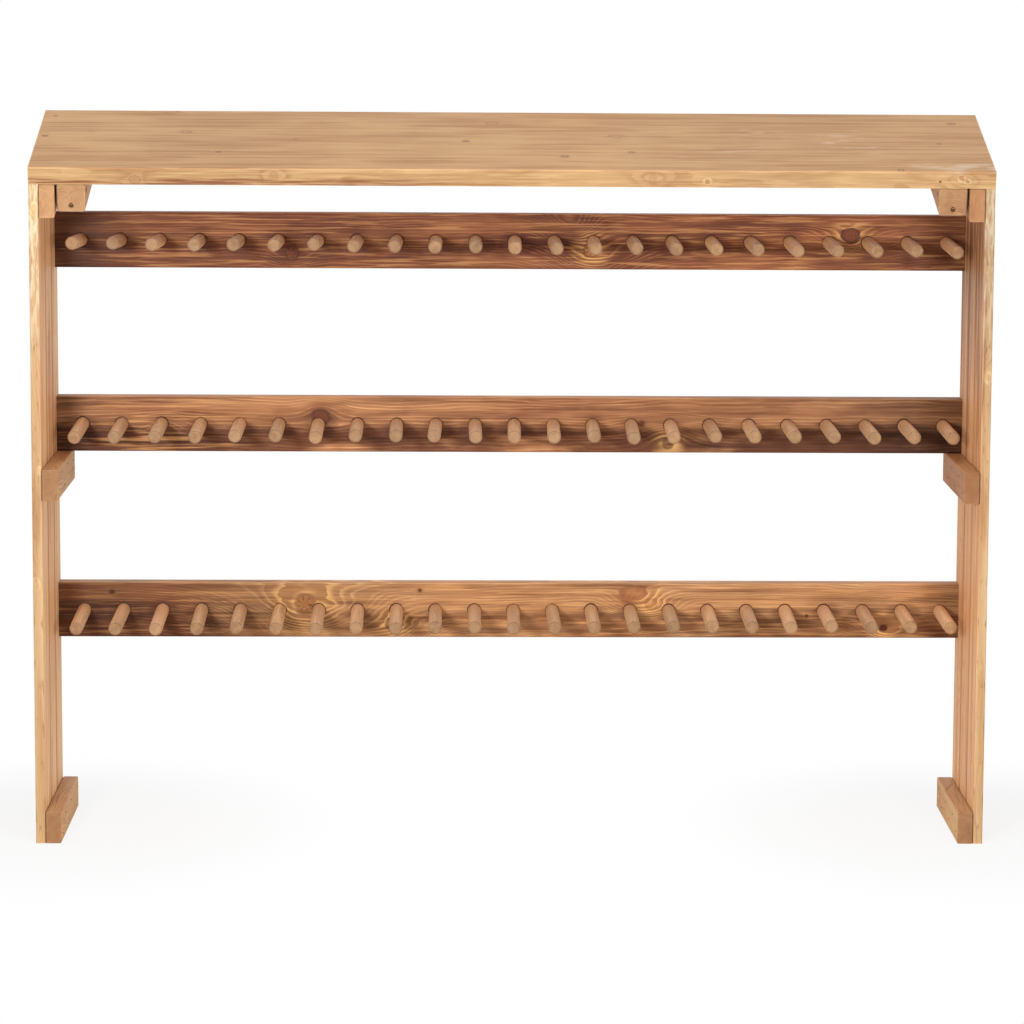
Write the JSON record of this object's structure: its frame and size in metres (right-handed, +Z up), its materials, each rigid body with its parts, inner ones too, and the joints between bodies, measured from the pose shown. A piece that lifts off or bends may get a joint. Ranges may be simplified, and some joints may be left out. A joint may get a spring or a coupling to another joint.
{
  "type": "boot rack",
  "caption": "Free-standing wooden boot rack: boarded side panels, horizontal rails with rows of projecting round pegs between them, and a sloping roof board on battens.",
  "frame": {"origin": "on the floor, under the middle of the whole rack", "axes": "+Z up, +X to the right along the rails when the pegs point at the viewer, +Y to the back"},
  "size_m": [1.5, 0.2886, 1.1436],
  "materials": {
    "roof": "satin, brown stained softwood with small knots",
    "panel_boards": "satin, pinkish tan softwood",
    "cleats": "satin, tan softwood with darker end grain",
    "battens": "satin, tan softwood",
    "rails": "satin, darker brown stained softwood with strong grain",
    "pegs": "satin, pale tan beech dowel",
    "fasteners": "dull zinc-plated screws and panel pins, shown by the visual model alone"
  },
  "bodies": {
    "root": {"left_panel_front_board": "panel_boards", "left_panel_middle_board": "panel_boards", "left_panel_rear_board": "panel_boards", "left_top_cleat": "cleats", "left_middle_cleat": "cleats", "left_foot_cleat": "cleats", "left_roof_batten": "battens", "right_panel_front_board": "panel_boards", "right_panel_middle_board": "panel_boards", "right_panel_rear_board": "panel_boards", "right_top_cleat": "cleats", "right_middle_cleat": "cleats", "right_foot_cleat": "cleats", "right_roof_batten": "battens", "bottom_rail": "rails", "bottom_rail_pegs": "pegs", "middle_rail": "rails", "middle_rail_pegs": "pegs", "top_rail": "rails", "top_rail_pegs": "pegs", "roof_board": "roof"}
  },
  "joints": []
}
